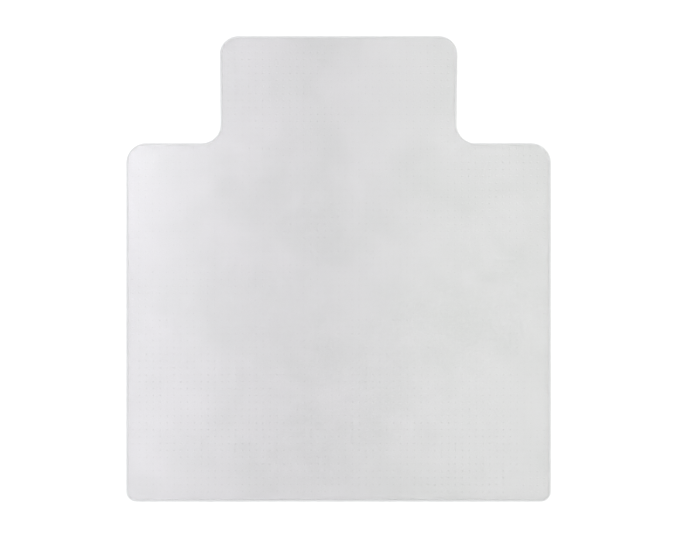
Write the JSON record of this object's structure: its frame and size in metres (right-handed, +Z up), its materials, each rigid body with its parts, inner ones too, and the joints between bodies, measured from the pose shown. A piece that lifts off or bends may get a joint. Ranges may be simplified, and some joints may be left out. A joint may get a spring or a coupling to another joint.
{
  "type": "chair mat",
  "caption": "Lipped carpet chair mat: a thin translucent vinyl sheet with a sloping edge, a lip that goes under the desk and cleats that grip the carpet.",
  "frame": {"origin": "on the floor, at the middle of the overall width and length", "axes": "+X to the right, +Y towards the lip that goes under the desk, +Z up"},
  "size_m": [1.22, 1.338, 0.007],
  "materials": {
    "wear_vinyl": "translucent vinyl with a fine pebbled emboss",
    "core_vinyl": "translucent vinyl, smooth",
    "edge_vinyl": "translucent vinyl, trimmed to a slope",
    "grip_vinyl": "translucent vinyl, moulded"
  },
  "bodies": {
    "root": {"wear_surface": "wear_vinyl", "core_sheet": "core_vinyl", "bevelled_edge": "edge_vinyl", "body_grip": "grip_vinyl", "lip_grip": "grip_vinyl"}
  },
  "joints": []
}
